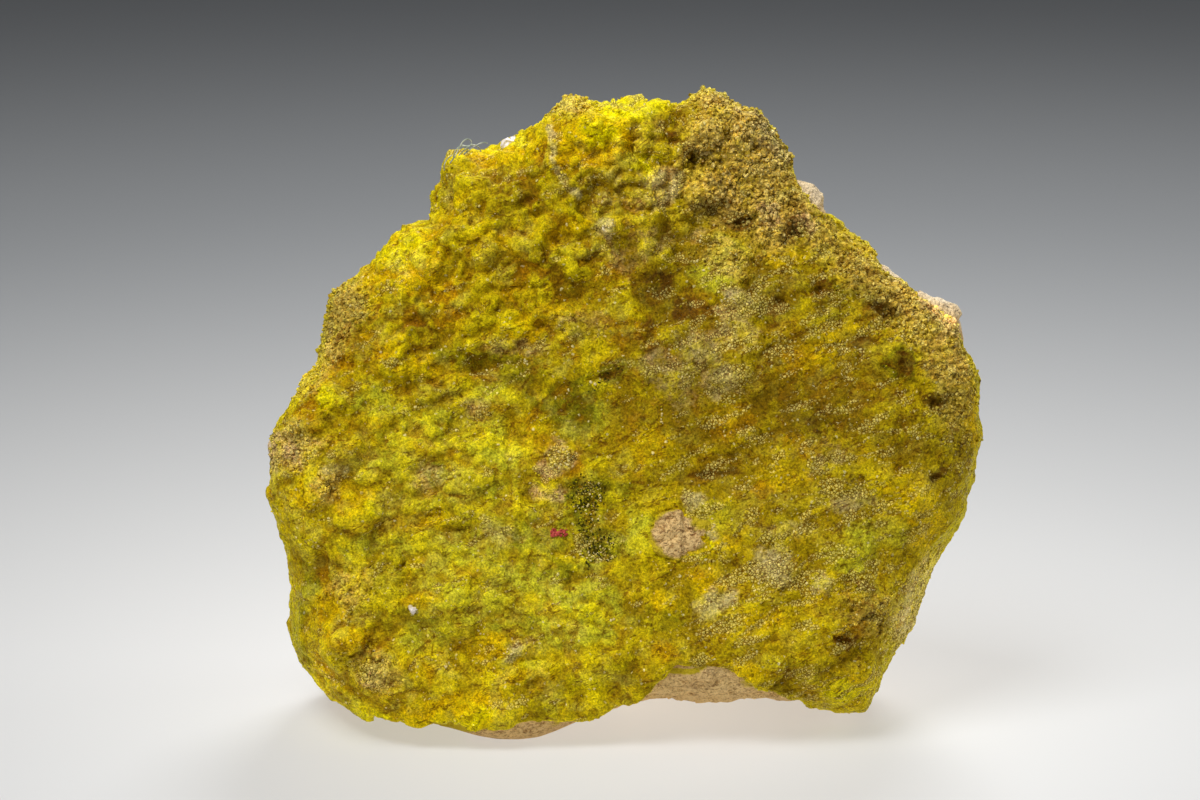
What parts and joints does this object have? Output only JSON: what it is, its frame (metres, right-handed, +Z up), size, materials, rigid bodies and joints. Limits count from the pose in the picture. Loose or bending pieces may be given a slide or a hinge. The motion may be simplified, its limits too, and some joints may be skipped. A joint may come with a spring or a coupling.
{
  "type": "chromatite mineral specimen on matrix",
  "caption": "Leaning slab of pinkish tan limestone whose face and edges carry a lumpy, pitted yellow mineral crust, broken away at the rim and in an oval window.",
  "frame": {"origin": "on the surface that the stone rests on, under the middle of its bounding box", "axes": "+Z up; -Y out of the yellow face; +X to the right along the face's width"},
  "size_m": [0.0656, 0.0302, 0.0568],
  "materials": {
    "limestone": "matte, fine-grained, pinkish tan",
    "chromatite": "matte, granular, lemon to mustard yellow"
  },
  "bodies": {
    "root": {"matrix_rock": "limestone", "chromatite_crust": "chromatite"}
  },
  "joints": []
}
